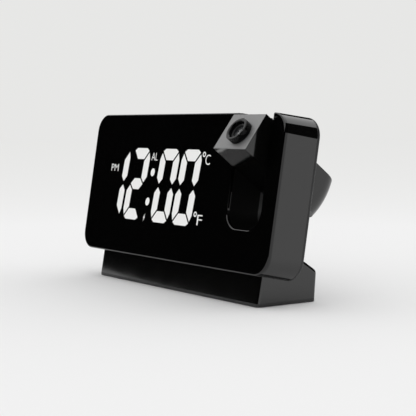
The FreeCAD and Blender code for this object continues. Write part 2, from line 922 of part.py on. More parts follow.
# Arm shell and cover
def arm_screw_places():
    """Two below the pivot and one beside the optics."""
    x = arm_half - arm_screw_inset
    low = pivot_z - arm_screw_below
    return [(slot_x - x, pivot_z + arm_screw_above), (slot_x - x, low), (slot_x + x, low)]


def arm_shell():
    body = arm_body(0, arm_front, arm_back)
    rounds = [e for e in body.Edges if all(abs(v.Point.z - arm_top) < 0.001 for v in e.Vertexes)]
    body = body.makeFillet(arm_edge_round, rounds)
    ledge = arm_back - arm_cover_thickness
    body = body.cut(arm_body(arm_wall, arm_front + arm_wall, ledge))
    body = body.cut(arm_body(arm_rim, ledge, arm_back + 1))
    added = []
    for side in (-1, 1):
        start = V(slot_x + side * arm_half, pivot_y, pivot_z)
        added.append(rod(hub_radius, start, X_AXIS * -side, pin_in_arm - 0.5))
    for x, z in arm_screw_places():
        added.append(rod(screw_shank * 2, V(x, arm_front + arm_wall / 2, z), Y_AXIS,
                         ledge - arm_front - arm_wall / 2))
    body = fused([body] + added)
    pin_start = V(slot_x - arm_half - 1, pivot_y, pivot_z)
    removed = [rod(pin_radius + pin_clearance, pin_start, X_AXIS, arm_width + 2)]
    removed.append(rod(ring_neck + pin_clearance, down(arm_wall + 1), Z_AXIS, arm_wall + 2))
    for x, z in arm_screw_places():
        removed.append(rod(screw_shank, V(x, ledge - arm_screw_grip, z), Y_AXIS, arm_screw_grip + 1))
    return body.cut(removed)


def arm_cover():
    ledge = arm_back - arm_cover_thickness
    cover = arm_body(arm_rim, ledge, arm_back)
    for x, z in arm_screw_places():
        cover = cover.cut(rod(screw_shank + screw_clearance, V(x, ledge - 1, z), Y_AXIS, REACH))
        seat = V(x, arm_back - arm_screw_sunk, z)
        cover = cover.cut(rod(screw_head + screw_clearance, seat, Y_AXIS, screw_head_height))
    return cover


def arm_screws():
    ledge = arm_back - arm_cover_thickness
    length = arm_screw_grip + arm_cover_thickness - arm_screw_sunk
    shapes = []
    for x, z in arm_screw_places():
        shape = screw(V(x, ledge - arm_screw_grip, z), Y_AXIS, length)
        shapes.append(shape.common(block(x - 5, x + 5, ledge - REACH, arm_back, z - 5, z + 5)))
    return group(shapes)


# Projector optics
def down(depth):
    """The point on the lens axis at a depth below the lens face."""
    return V(lens_x, lens_y, arm_top - depth)


def grip_outline(radius):
    points = []
    steps = ring_grips * 4
    for i in range(steps):
        r = radius if i % 4 < 2 else radius - ring_grip_depth
        angle = 2 * math.pi * i / steps
        points.append(down(-ring_gap) + V(r * math.cos(angle), r * math.sin(angle), 0))
    return polygon(points)


def focus_ring():
    body = grip_outline(ring_radius).extrude(V(0, 0, ring_height))
    smooth = rod(ring_radius, down(-ring_gap), Z_AXIS, ring_height)
    middle = arm_top + ring_height / 2
    top_edge = [e for e in smooth.Edges if len(e.Vertexes) == 1 and e.CenterOfMass.z > middle]
    body = body.common(smooth.makeChamfer(ring_chamfer, top_edge))
    neck = rod(ring_neck, down(neck_length), Z_AXIS, neck_length + ring_gap + 0.1)
    body = body.fuse(neck)
    bore = rod(ring_bore, down(neck_length + 1), Z_AXIS, neck_length + ring_height + 3)
    return body.cut(bore)


def ring_clip():
    return tube(clip_radius, ring_neck, down(neck_length), Z_AXIS, clip_thickness)


def lens_cell():
    length = cell_top + cell_bottom
    cell = rod(cell_radius, down(cell_bottom), Z_AXIS, length)
    seat = rod(cell_bore, down(cell_bottom + 1), Z_AXIS, length - cell_lip + 1)
    mouth = rod(cell_bore - cell_lip, down(0), Z_AXIS, cell_top + 1)
    return cell.cut(seat).cut(mouth)


def lens_disc(radius, top_depth, thickness, bulge):
    """A disc with a domed upper face; top_depth is the depth of its rim's upper edge."""
    sphere_radius = (radius * radius + bulge * bulge) / (2 * bulge)
    disc = rod(radius, down(top_depth + thickness), Z_AXIS, thickness + bulge)
    sphere = Part.makeSphere(sphere_radius, down(top_depth - bulge + sphere_radius))
    lower = rod(radius, down(top_depth + thickness), Z_AXIS, thickness)
    return disc.common(sphere).fuse(lower.cut(sphere)).removeSplitter()


def projection_lens():
    return lens_disc(cell_bore, -cell_top + cell_lip + lens_bulge, lens_thickness, lens_bulge)


def optics_holder():
    x0 = lens_x - holder_half_width
    x1 = lens_x + holder_half_width
    ledge = arm_back - arm_cover_thickness
    body = block(x0, x1, arm_front + arm_wall, ledge, arm_top - holder_bottom, arm_top - holder_top)
    f = film_size / 2
    b = lamp_board_size / 2
    film_end = film_depth + film_thickness
    condenser_end = condenser_depth + condenser_thickness
    removed = [
        rod(cell_radius + pin_clearance, down(film_depth), Z_AXIS, film_depth - holder_top + 1),
        block(lens_x - f, lens_x + f, lens_y - f, lens_y + f, arm_top - film_end, arm_top - film_depth),
        rod(condenser_radius, down(condenser_end), Z_AXIS, condenser_end - film_end),
        rod(lamp_bore, down(lamp_board_depth), Z_AXIS, lamp_board_depth - condenser_end),
        block(lens_x - b, lens_x + b, lens_y - b, lens_y + b,
              arm_top - holder_bottom - 1, arm_top - lamp_board_depth),
    ]
    return body.cut(removed)


def time_film():
    f = film_size / 2
    top = arm_top - film_depth
    return block(lens_x - f, lens_x + f, lens_y - f, lens_y + f, top - film_thickness, top)


def condenser_lens():
    return lens_disc(condenser_radius, condenser_depth + 1.0, condenser_thickness - 1.0, 1.0)


def lamp_board():
    b = lamp_board_size / 2
    top = arm_top - lamp_board_depth
    return block(lens_x - b, lens_x + b, lens_y - b, lens_y + b, top - lamp_board_thickness, top)


def projector_lamp():
    a = lamp_size / 2
    low = arm_top - lamp_board_depth
    return block(lens_x - a, lens_x + a, lens_y - a, lens_y + a, low, low + lamp_height)


# Base, in the object's own frame
def case_point(y, z):
    """Where a point of the case's side view stands, as (y, z) in the object's frame."""
    a = math.radians(case_lean_deg)
    return (case_front_y + y * math.cos(a) + z * math.sin(a),
            case_bottom_z - y * math.sin(a) + z * math.cos(a))


def crossing(p, p_angle, q, q_angle):
    """Where two lines of the side view cross; angles in degrees from +Y."""
    pa = math.radians(p_angle)
    qa = math.radians(q_angle)
    cross = math.cos(pa) * math.sin(qa) - math.sin(pa) * math.cos(qa)
    k = ((q[0] - p[0]) * math.sin(qa) - (q[1] - p[1]) * math.cos(qa)) / cross
    return (p[0] + k * math.cos(pa), p[1] + k * math.sin(pa))


def base_profile():
    front_foot = (base_front_y, plate_top)
    rear_foot = (base_front_y + base_depth, plate_top)
    seat_angle = -case_lean_deg - math.degrees(math.atan(case_flare / case_depth))
    seat_front = crossing(front_foot, 90 - base_front_lean_deg, case_point(0, 0), seat_angle)
    seat_rear = case_point(case_depth, case_bottom_at(case_depth))
    cup_top = case_point(case_depth, base_cup_height)
    rear_top = crossing(cup_top, -base_slope_deg, rear_foot, 90 - base_rear_lean_deg)
    return [front_foot, seat_front, seat_rear, cup_top, rear_top, rear_foot]


def base_prism(points, half):
    face = polygon([V(-half, y, z) for y, z in points])
    return face.extrude(V(2 * half, 0, 0))


def inset_profile(points, inset):
    wire = Part.makePolygon([V(0, y, z) for y, z in points + [points[0]]])
    smaller = wire.makeOffset2D(-inset, 2)
    return [(v.Point.y, v.Point.z) for v in smaller.OrderedVertexes]


def base_shell():
    points = base_profile()
    body = base_prism(points, base_half)
    rear_top = points[4]
    corner = V(0, rear_top[0], rear_top[1])
    rear_edge = [e for e in body.Edges if e.CenterOfMass.distanceToPoint(corner) < 0.01]
    body = body.makeFillet(base_rear_round, rear_edge)
    body = body.makeFillet(base_corner, [e for e in body.Edges if rises_from_foot(e)])
    x1 = base_half - base_wall
    y1 = base_depth / 2 - base_wall
    hollow = base_prism(inset_profile(points, base_wall), x1)
    mouth = block(-x1, x1, -y1, y1, plate_top - 1, plate_top + base_wall * 1.1)
    body = body.cut(hollow).cut(mouth)
    posts = [rod(post_radius, V(x, y, plate_top), Z_AXIS, base_post_height)
             for x, y in plate_screw_places()]
    ribs = []
    rib_half = base_rib_thickness / 2
    for x, y in plate_screw_places():
        edge = math.copysign(base_half - base_wall / 2, x)
        ribs.append(block(min(x, edge), max(x, edge), y - rib_half, y + rib_half,
                          plate_top, plate_top + base_post_height))
    body = fused([body] + posts + ribs)
    holes = [rod(screw_shank, V(x, y, plate_top - 1), Z_AXIS, plate_screw_grip + 1)
             for x, y in plate_screw_places()]
    for x in fixing_screw_xs:
        hole = rod(screw_shank + screw_clearance, V(x, fixing_screw_y, -REACH / 6), Z_AXIS, REACH / 3)
        holes.append(in_case(hole))
    return body.cut(holes)


def rises_from_foot(edge):
    a, b = [v.Point for v in edge.Vertexes]
    return abs(a.x - b.x) < 0.001 and min(a.z, b.z) < plate_top + 0.001 and max(a.z, b.z) > plate_top + 1


def plate_screw_places():
    return [(x, y) for x in (-plate_screw_x, plate_screw_x) for y in (-plate_screw_y, plate_screw_y)]


def base_plate():
    plate = block(-base_half, base_half, base_front_y, -base_front_y, pad_proud, plate_top)
    plate = plate.makeFillet(base_corner, upright_edges(plate))
    plate = plate.cut(pad_shape(pad_proud - 1, pad_proud + pad_seat))
    for x, y in plate_screw_places():
        plate = plate.cut(rod(screw_shank + screw_clearance, V(x, y, 0), Z_AXIS, REACH))
        plate = plate.cut(rod(screw_head + screw_clearance, V(x, y, 0), Z_AXIS, pad_proud + plate_screw_sunk))
    return plate


def pad_shape(z0, z1):
    x = base_half - pad_side_gap
    y = base_depth / 2 - pad_front_gap
    shape = block(-x, x, -y, y, z0, z1)
    return shape.makeFillet(pad_corner, upright_edges(shape))


def anti_slip_pad():
    return pad_shape(0, pad_proud + pad_seat)


def plate_screws():
    length = plate_screw_grip + plate_thickness - plate_screw_sunk
    shapes = []
    for x, y in plate_screw_places():
        shape = screw(V(x, y, plate_top + plate_screw_grip), V(0, 0, -1), length)
        shapes.append(shape.common(block(x - 5, x + 5, y - 5, y + 5, pad_proud, REACH)))
    return group(shapes)


def fixing_screws():
    """Screws that hold the base to the case, in the case's frame."""
    low = case_bottom_at(fixing_screw_y) - base_wall - fixing_screw_slack
    tip = case_bottom_at(fixing_screw_y) - 1 + fixing_screw_length
    return group([screw(V(x, fixing_screw_y, tip), V(0, 0, -1), tip - low) for x in fixing_screw_xs])


# Placing: the case leans back on its lower front edge, the arm also turns on its pivot
def in_case(shape):
    placed = shape.copy()
    lean = FreeCAD.Placement(V(0, case_front_y, case_bottom_z), FreeCAD.Rotation(X_AXIS, -case_lean_deg))
    placed.Placement = lean.multiply(placed.Placement)
    return placed


def in_arm(shape):
    turned = shape.copy()
    turned.rotate(V(0, pivot_y, pivot_z), X_AXIS, arm_rest_deg)
    return in_case(turned)


case_parts = {
    "front_panel": front_panel, "digit_segments": digit_segments, "colon_dots": colon_dots,
    "light_mask": light_mask, "display_board": display_board, "segment_leds": segment_leds,
    "display_screws": display_screws, "front_housing": front_housing, "rear_cover": rear_cover,
    "case_screws": case_screws, "main_board": main_board, "board_screws": board_screws,
    "board_header": board_header, "controller_chip": controller_chip, "capacitors": capacitors,
    "tact_switches": tact_switches, "snooze_switch": snooze_switch, "snooze_key": snooze_key,
    "buzzer": buzzer, "cell_tray": cell_tray, "coin_cell": coin_cell, "cell_contact": cell_contact,
    "battery_door": battery_door, "power_socket": power_socket, "socket_tongue": socket_tongue,
    "friction_washers": friction_washers, "base_fixing_screws": fixing_screws,
}
arm_parts = {
    "arm_shell": arm_shell, "arm_cover": arm_cover, "arm_screws": arm_screws,
    "focus_ring": focus_ring, "ring_clip": ring_clip, "lens_cell": lens_cell,
    "projection_lens": projection_lens, "optics_holder": optics_holder, "time_film": time_film,
    "condenser_lens": condenser_lens, "lamp_board": lamp_board, "projector_lamp": projector_lamp,
}
base_parts = {
    "base_shell": base_shell, "base_plate": base_plate,
    "anti_slip_pad": anti_slip_pad, "base_plate_screws": plate_screws,
}
button_names = ("set_button", "alarm_button", "up_button", "down_button", "display_button")


def main():
    os.makedirs("parts", exist_ok=True)
    shapes = {}
    for name, make in case_parts.items():
        shapes[name] = in_case(make())
    for place, name in enumerate(button_names):
        shapes[name] = in_case(rear_button(place))
    shapes["left_pivot_pin"] = in_case(pivot_pin(-1))
    shapes["right_pivot_pin"] = in_case(pivot_pin(1))
    for name, make in arm_parts.items():
        shapes[name] = in_arm(make())
    for name, make in base_parts.items():
        shapes[name] = make()
    for name, shape in shapes.items():
        shape.exportStep("parts/" + name + ".step")


main()
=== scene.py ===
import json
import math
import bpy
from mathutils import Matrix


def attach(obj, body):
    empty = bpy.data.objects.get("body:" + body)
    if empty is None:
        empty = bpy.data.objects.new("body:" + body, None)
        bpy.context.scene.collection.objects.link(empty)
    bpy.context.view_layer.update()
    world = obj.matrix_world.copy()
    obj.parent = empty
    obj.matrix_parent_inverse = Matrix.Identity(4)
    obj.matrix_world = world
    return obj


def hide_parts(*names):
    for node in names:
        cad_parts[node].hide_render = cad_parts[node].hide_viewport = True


bl_info = {
    "name": "Projection Alarm Clock",
    "version": (1, 0, 0),
    "blender": (4, 5, 0),
    "location": "View3D > Sidebar > Clock",
    "description": "Dresses the projection alarm clock's solids and sets up its studio",
    "category": "Object",
}

import bmesh
import bpy
from bpy.props import FloatProperty, FloatVectorProperty, IntProperty, PointerProperty
from mathutils import Matrix, Vector

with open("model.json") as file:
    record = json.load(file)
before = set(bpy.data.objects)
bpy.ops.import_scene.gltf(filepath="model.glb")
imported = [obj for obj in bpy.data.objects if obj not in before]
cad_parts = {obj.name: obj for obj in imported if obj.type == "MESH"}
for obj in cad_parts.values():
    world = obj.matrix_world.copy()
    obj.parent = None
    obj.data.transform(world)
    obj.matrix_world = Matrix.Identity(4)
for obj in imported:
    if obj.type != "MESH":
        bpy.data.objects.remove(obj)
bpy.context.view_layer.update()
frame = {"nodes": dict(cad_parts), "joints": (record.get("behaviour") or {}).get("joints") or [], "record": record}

MM = 0.001
JOINTS = {joint["name"]: joint for joint in frame["joints"]}

# The case leans back on its lower front edge; case coordinates run right, back and up its face.
CASE_LEAN = math.radians(9.3)
CASE_ORIGIN = (0, -0.025, 0.0178)
CASE_PLACE = Matrix.Translation(CASE_ORIGIN) @ Matrix.Rotation(-CASE_LEAN, 4, "X")

# The case's depth and height, and how much its top rises over that depth, in millimetres
CASE_DEPTH = 23.6
CASE_HEIGHT = 84.7
CASE_TOP_RISE = 0.9
TOP_SLOPE = math.atan2(CASE_TOP_RISE, CASE_DEPTH)

# The slot for the arm: its middle across the case, and a little over half its width, in metres
SLOT_MIDDLE = 0.0691
SLOT_HALF = 0.0152

# The lens axis runs through the focus ring's joint; the lens face is this far along it, in metres.
ARM_TURN = math.radians(52.9)
LENS_PLACE = Matrix.Translation(JOINTS["focus_turn"]["pos_m"]) @ Matrix.Rotation(ARM_TURN, 4, "X")
LENS_AXIS = LENS_PLACE.to_3x3() @ Vector((0, 0, 1))
LENS_FACE = 0.0235
LENS_FACE_HALF = 0.0002

# Where a shell's finish changes: dull inside the slot; on the lens face a grey base colour, a painted sheen that
# stands for the roof's reflection
SLOT_BAND = ((1, 0, 0), SLOT_MIDDLE, SLOT_HALF)
DULL = {"Roughness": 0.6, "Specular IOR Level": 0.06}
FACE_BAND = (LENS_AXIS, LENS_PLACE.translation.dot(LENS_AXIS) + LENS_FACE, LENS_FACE_HALF)
FACE_PAINTED_SHEEN = {"Base Color": (0.1, 0.1, 0.1), "Roughness": 0.6, "IOR": 1.8, "Specular IOR Level": 1.0}

# How a piece that is made flat, facing +Z, is stood on the front, the back and the top
FRONT = Matrix.Rotation(math.pi / 2, 4, "X")
BACK = Matrix.Rotation(math.pi, 4, "Z") @ FRONT
TOP = Matrix.Rotation(TOP_SLOPE, 4, "X")


def colour_property(name, description, default):
    return FloatVectorProperty(name=name, description=description, subtype="COLOR",
                               size=3, min=0, max=1, default=default)


def length_property(name, description, default_mm):
    return FloatProperty(name=name, description=description, unit="LENGTH", min=0,
                         precision=5, default=default_mm * MM)


class ClockColours(bpy.types.PropertyGroup):
    """The clock's colours."""
    panel: colour_property("Front panel", "Tinted gloss of the front", (0.0008, 0.0008, 0.0008))
    shell: colour_property("Shell", "Gloss plastic of the case, arm and base", (0.002, 0.002, 0.0019))
    satin: colour_property("Satin parts", "Fine satin plastic of the rear cover", (0.012, 0.012, 0.0125))
    lit: colour_property("Lit display", "Light of the digits and signs", (0.8, 0.8, 0.79))
    print: colour_property("Printed signs", "Ink of the signs on the back", (0.45, 0.45, 0.45))
    board: colour_property("Boards", "Solder mask of the circuit boards", (0.015, 0.11, 0.04))


class ClockSizes(bpy.types.PropertyGroup):
    """The sizes of the pieces that are shaped here."""
    sign_relief: length_property("Sign relief", "How far the signs stand off the panel", 0.03)
    ring_radius: length_property("Ring radius", "Outside radius of the focus ring", 7.0)
    ring_bore: length_property("Ring bore", "Inside radius of the focus ring", 5.15)
    ring_height: length_property("Ring height", "Height of the focus ring above its gap", 4.0)
    ring_gap: length_property("Ring gap", "Gap between the focus ring and the lens face", 0.3)
    ring_ribs: IntProperty(name="Ring ribs", description="Grip ribs round the focus ring",
                           min=12, default=32)
    button_radius: length_property("Button radius", "Radius of the buttons on the back", 3.6)
    button_proud: length_property("Button height", "How far the buttons stand out", 0.9)
    button_dish: length_property("Button dish", "Depth of the hollow in a button's face", 0.4)
    camera_lens: FloatProperty(name="Camera lens", description="Focal length on a 36 mm sensor",
                               unit="CAMERA", default=99.07)


class Value:
    """A number that changes over a surface; sums on it add Math nodes."""

    def __init__(self, shade, socket):
        self.shade = shade
        self.socket = socket

    def sum(self, operation, first, second):
        node = self.shade.add("ShaderNodeMath", {"operation": operation}, {0: first, 1: second})
        return Value(self.shade, node.outputs[0])

    def __add__(self, other):
        return self.sum("ADD", self, other)

    __radd__ = __add__

    def __sub__(self, other):
        return self.sum("SUBTRACT", self, other)

    def __rsub__(self, other):
        return self.sum("SUBTRACT", other, self)

    def __mul__(self, other):
        return self.sum("MULTIPLY", self, other)

    __rmul__ = __mul__

    def __truediv__(self, other):
        return self.sum("DIVIDE", self, other)

    def __rtruediv__(self, other):
        return self.sum("DIVIDE", other, self)


class Shade:
    """A node tree of a material or the world."""

    def __init__(self, owner):
        owner.use_nodes = True
        self.owner = owner
        self.tree = owner.node_tree
        self.tree.nodes.clear()

    def add(self, kind, settings=None, inputs=None):
        """Adds a node: its settings first, then the values or links of its sockets."""
        node = self.tree.nodes.new(kind)
        for key, value in (settings or {}).items():
            setattr(node, key, value)
        for key, value in (inputs or {}).items():
            socket = node.inputs[key]
            if isinstance(value, Value):
                self.tree.links.new(value.socket, socket)
            elif isinstance(value, bpy.types.NodeSocket):
                self.tree.links.new(value, socket)
            elif socket.type == "RGBA" and len(value) == 3:
                socket.default_value = (*value, 1)
            else:
                socket.default_value = value
        return node

    def coordinates(self, kind="Object"):
        """The place on the piece, or the direction where the kind is Generated in the world."""
        return self.add("ShaderNodeTexCoord").outputs[kind]

    def place(self, scale=(1, 1, 1), turn=(0, 0, 0)):
        """Object coordinates, turned and scaled."""
        mapping = self.add("ShaderNodeMapping", {"vector_type": "POINT"},
                           {"Vector": self.coordinates(), "Rotation": turn, "Scale": scale})
        return mapping.outputs[0]

    def noise(self, scale, detail=3.0, where=None):
        """Cloudy noise over the place."""
        node = self.add("ShaderNodeTexNoise", {"noise_dimensions": "3D"},
                        {"Vector": where or self.place(), "Scale": scale, "Detail": detail})
        return Value(self, node.outputs["Fac"])

    def seen(self, path):
        """1 for rays that come from the camera, straight or through glass."""
        return Value(self, path.outputs["Is Camera Ray"]) + Value(self, path.outputs["Is Transmission Ray"])

    def blend(self, mask, low, high):
        """Goes from one colour to another by a mask."""
        node = self.add("ShaderNodeMix", {"data_type": "RGBA"}, {"Factor": mask, "A": low, "B": high})
        return node.outputs["Result"]

    def spread(self, value, low, high, start=0.0, end=1.0):
        """Maps a value's range from low..high to start..end, held inside."""
        node = self.add("ShaderNodeMapRange", {"clamp": True},
                        {"Value": value, "From Min": low, "From Max": high,
                         "To Min": start, "To Max": end})
        return Value(self, node.outputs["Result"])

    def bump(self, height, distance):
        """A normal from a height that is scaled by a distance."""
        node = self.add("ShaderNodeBump", None,
                        {"Height": height, "Distance": distance, "Strength": 1.0})
        return node.outputs["Normal"]

    def band(self, direction, middle, half):
        """1 where the place along a direction is within half of the middle, else 0."""
        along = self.add("ShaderNodeVectorMath", {"operation": "DOT_PRODUCT"},
                         {0: self.coordinates(), 1: direction})
        near = self.add("ShaderNodeMath", {"operation": "COMPARE"},
                        {0: along.outputs["Value"], 1: middle, 2: half})
        return Value(self, near.outputs[0])

    def surface(self, where=None, there=None, **named_inputs):
        """Ends a material in a Principled shader; where 'where' is 1, 'there' changes its inputs."""
        inputs = {key.replace("_", " "): value for key, value in named_inputs.items()}
        result = self.add("ShaderNodeBsdfPrincipled", None, inputs).outputs[0]
        if there:
            changed = self.add("ShaderNodeBsdfPrincipled", None, {**inputs, **there}).outputs[0]
            result = self.add("ShaderNodeMixShader", None, {0: where, 1: result, 2: changed}).outputs[0]
        self.add("ShaderNodeOutputMaterial", None, {"Surface": result})
        return self.owner


def new_shade(name):
    return Shade(bpy.data.materials.new(name))


def grey(level):
    return (level, level, level)


def tone(colour, factor):
    """A colour made darker or lighter."""
    return tuple(min(1.0, part * factor) for part in colour)


def gloss_material(name, colour, roughness, shine=0.5, wave=0.00001, band=None, there=None):
    """Moulded gloss plastic: a faint flow wave, faint dust and uneven polish.

    Inside the band, given as direction, middle and half width, the finish is another.
    """
    shade = new_shade(name)
    polish = shade.noise(45, 4)
    dust = shade.spread(shade.noise(2600, 2), 0.74, 0.8)
    rough = shade.spread(polish, 0.3, 0.75, roughness * 0.8, roughness * 1.25) + dust * 0.1
    tint = shade.blend(dust * 0.35, colour, tone(colour, 5))
    flow = shade.bump(shade.noise(30, 1), wave)
    where = shade.band(*band) if band else None
    return shade.surface(where, there, Base_Color=tint, Roughness=rough, Specular_IOR_Level=shine,
                         Normal=flow)


def satin_material(name, colour, roughness=0.42):
    """Spark-eroded plastic: a fine even grain."""
    shade = new_shade(name)
    pits = shade.noise(2200, 3)
    worn = shade.spread(shade.noise(60, 4), 0.35, 0.7)
    tint = shade.blend(worn, tone(colour, 0.85), tone(colour, 1.25))
    rough = shade.spread(worn, 0, 1, roughness * 1.1, roughness * 0.9)
    return shade.surface(Base_Color=tint, Roughness=rough, Normal=shade.bump(pits, 0.00002))


def rubber_material(name, colour):
    """Soft rubber with a pattern of small round studs."""
    shade = new_shade(name)
    dots = shade.add("ShaderNodeTexVoronoi", {"voronoi_dimensions": "2D", "feature": "F1"},
                     {"Vector": shade.place(), "Scale": 420.0, "Randomness": 0.0})
    stud = shade.spread(Value(shade, dots.outputs["Distance"]), 0.22, 0.4, 1, 0)
    tint = shade.blend(stud, tone(colour, 0.7), tone(colour, 1.4))
    return shade.surface(Base_Color=tint, Roughness=shade.noise(300) * 0.2 + 0.62,
                         Normal=shade.bump(stud, 0.00015))


def lit_material(name, colour, level):
    """A lit diffuser: its glow a touch uneven."""
    shade = new_shade(name)
    cloud = shade.spread(shade.noise(160, 2), 0.3, 0.7, 0.97, 1.03)
    glow = shade.blend(cloud - 0.5, tone(colour, 0.95), colour)
    return shade.surface(Base_Color=grey(0.02), Roughness=0.25, Emission_Color=glow,
                         Emission_Strength=level)


def ink_material(name, colour):
    """Printed ink with fine specks."""
    shade = new_shade(name)
    speck = shade.spread(shade.noise(1500, 3), 0.35, 0.6)
    return shade.surface(Base_Color=shade.blend(speck, tone(colour, 0.8), colour), Roughness=0.5)


def steel_material(name, colour, roughness=0.28):
    """Plated steel with fine turning marks."""
    shade = new_shade(name)
    marks = shade.noise(30, 2, shade.place(scale=(60, 4, 4)))
    stain = shade.spread(shade.noise(400, 4), 0.4, 0.7)
    return shade.surface(Base_Color=shade.blend(stain, tone(colour, 0.8), colour), Metallic=1.0,
                         Roughness=shade.spread(marks, 0.3, 0.7, roughness * 0.7, roughness * 1.4),
                         Normal=shade.bump(marks, 0.000004))


def board_material(name, colour):
    """Solder mask with copper runs and plated dots under it."""
    shade = new_shade(name)
    where = shade.place(turn=(CASE_LEAN, 0, 0))
    bricks = shade.add("ShaderNodeTexBrick", {"offset": 0.37},
                       {"Vector": shade.place(turn=(math.pi / 2, 0, 0)), "Scale": 120.0,
                        "Mortar Size": 0.06, "Mortar Smooth": 0.0})
    runs = Value(shade, bricks.outputs["Fac"])
    dots = shade.add("ShaderNodeTexVoronoi", {"feature": "F1"}, {"Vector": where, "Scale": 260.0})
    pads = shade.spread(Value(shade, dots.outputs["Distance"]), 0.12, 0.16, 1, 0)
    tint = shade.blend(runs, colour, tone(colour, 2.0))
    tint = shade.blend(pads, tint, (0.5, 0.42, 0.25))
    return shade.surface(Base_Color=tint, Roughness=0.35, Metallic=pads * 0.8,
                         Normal=shade.bump(runs + pads, 0.00003))


def glass_material(name):
    """Coated lens glass."""
    shade = new_shade(name)
    smear = shade.spread(shade.noise(350, 4), 0.5, 0.8, 0.01, 0.06)
    return shade.surface(Base_Color=(0.5, 0.52, 0.54), Roughness=smear, IOR=1.52,
                         Transmission_Weight=0.9, Coat_Weight=0.6)


def white_material(name):
    """Matt white plastic, a little cloudy."""
    shade = new_shade(name)
    tint = shade.blend(shade.noise(80, 4), grey(0.7), grey(0.82))
    return shade.surface(Base_Color=tint, Roughness=0.6, Normal=shade.bump(shade.noise(1800), 0.00001))


def film_material(name):
    """Dark film of the small projected display."""
    shade = new_shade(name)
    lines = shade.noise(900, 1)
    return shade.surface(Base_Color=shade.blend(lines, grey(0.01), grey(0.03)), Roughness=0.12)


# The material of each finish, once they are made
SLOT_FINISH = {}

# The shells whose finish changes over their surface
NODE_FINISH = {"front_housing": "housing_black", "arm_shell": "arm_black"}


def make_finishes(colours):
    """The materials of the record's slots, and those of shells and pieces that differ from them."""
    shell = tuple(colours.shell)
    satin = tuple(colours.satin)
    SLOT_FINISH.update({
        "smoked_panel": gloss_material("smoked_panel", tuple(colours.panel), 0.03, wave=0.000002),
        "gloss_black": gloss_material("gloss_black", shell, 0.05, 0.8),
        "housing_black": gloss_material("housing_black", shell, 0.05, 0.8, band=SLOT_BAND, there=DULL),
        # On the arm's lens face the grey base colour is a painted sheen, standing for the roof's reflection
        "arm_black": gloss_material("arm_black", shell, 0.08, 0.7, band=FACE_BAND, there=FACE_PAINTED_SHEEN),
        "ring_black": gloss_material("ring_black", grey(0.0005), 0.1, 0.18),
        "satin_black": satin_material("satin_black", satin),
        "black_plastic": satin_material("black_plastic", tone(satin, 1.3), 0.5),
        "lit_display": lit_material("lit_display", tuple(colours.lit), 1.0),
        "white_plastic": white_material("white_plastic"),
        "circuit_board": board_material("circuit_board", tuple(colours.board)),
        "lamp": lit_material("lamp", (0.9, 0.88, 0.7), 0.6),
        "steel": steel_material("steel", grey(0.6)),
        "dark_steel": steel_material("dark_steel", grey(0.08), 0.4),
        "aluminium_can": steel_material("aluminium_can", (0.7, 0.7, 0.72), 0.2),
        "washer_rubber": satin_material("washer_rubber", grey(0.03), 0.7),
        "pad_rubber": rubber_material("pad_rubber", grey(0.02)),
        "lens_glass": glass_material("lens_glass"),
        "dark_film": film_material("dark_film"),
        "printed_sign": ink_material("printed_sign", tuple(colours.print)),
    })


def dress(piece, finish, body):
    """Gives a finished piece its material and its body."""
    piece.data.materials.clear()
    piece.data.materials.append(SLOT_FINISH[finish])
    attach(piece, body)


def begin():
    """Leaves edit mode and deselects everything."""
    if bpy.context.object and bpy.context.object.mode != "OBJECT":
        bpy.ops.object.mode_set(mode="OBJECT")
    bpy.ops.object.select_all(action="DESELECT")


def named(name):
    """Names the active object and its mesh."""
    piece = bpy.context.object
    piece.name = name
    piece.data.name = name
    return piece


def copied(model, name):
    """A copy of a piece with a mesh of its own."""
    piece = model.copy()
    piece.data = model.data.copy()
    piece.name = name
    bpy.context.collection.objects.link(piece)
    return piece


def settle(piece, place):
    """Moves the place of a piece into its mesh, so that its object stands at the origin."""
    piece.data.transform(place @ piece.matrix_basis)
    piece.matrix_basis = Matrix.Identity(4)


def pick_faces(piece, test):
    """In edit mode, selects only the faces that pass the test."""
    bpy.ops.mesh.select_mode(type="FACE")
    bpy.ops.mesh.select_all(action="DESELECT")
    mesh = bmesh.from_edit_mesh(piece.data)
    found = [face for face in mesh.faces if test(face)]
    for face in found:
        face.select_set(True)
    mesh.select_flush_mode()
    bmesh.update_edit_mesh(piece.data)
    if not found:
        raise RuntimeError(piece.name + ": nothing was found to select")


def chain(name, spots):
    """A new piece in edit mode: a chain of edges through the given spots."""
    begin()
    bpy.ops.mesh.primitive_plane_add(size=0.001, location=(0, 0, 0))
    piece = named(name)
    bpy.ops.object.mode_set(mode="EDIT")
    bpy.ops.mesh.select_mode(type="VERT")
    bpy.ops.mesh.select_all(action="SELECT")
    bpy.ops.mesh.merge(type="CENTER")
    bpy.ops.transform.translate(value=spots[0])
    for last, spot in zip(spots, spots[1:]):
        bpy.ops.mesh.extrude_region_move(TRANSFORM_OT_translate={"value": spot - last})
    return piece


def turned(name, profile, steps):
    """A closed piece turned about +Z from its profile of (radius, height) points, in metres."""
    piece = chain(name, [Vector((radius, 0, height)) for radius, height in profile])
    bpy.ops.mesh.select_all(action="SELECT")
    bpy.ops.mesh.spin(steps=steps, angle=2 * math.pi, center=(0, 0, 0), axis=(0, 0, 1))
    bpy.ops.mesh.select_all(action="SELECT")
    bpy.ops.mesh.remove_doubles(threshold=0.000001)
    bpy.ops.mesh.normals_make_consistent(inside=False)
    bpy.ops.object.mode_set(mode="OBJECT")
    return piece


def round_edges(piece, width, angle):
    """Rounds the edges that are sharper than an angle, and smooths the rest."""
    begin()
    piece.select_set(True)
    bpy.context.view_layer.objects.active = piece
    rounding = piece.modifiers.new("rounding", "BEVEL")
    rounding.width = width
    rounding.segments = 2
    rounding.limit_method = "ANGLE"
    rounding.angle_limit = angle
    bpy.ops.object.modifier_apply(modifier="rounding")
    bpy.ops.object.shade_smooth_by_angle(angle=angle)


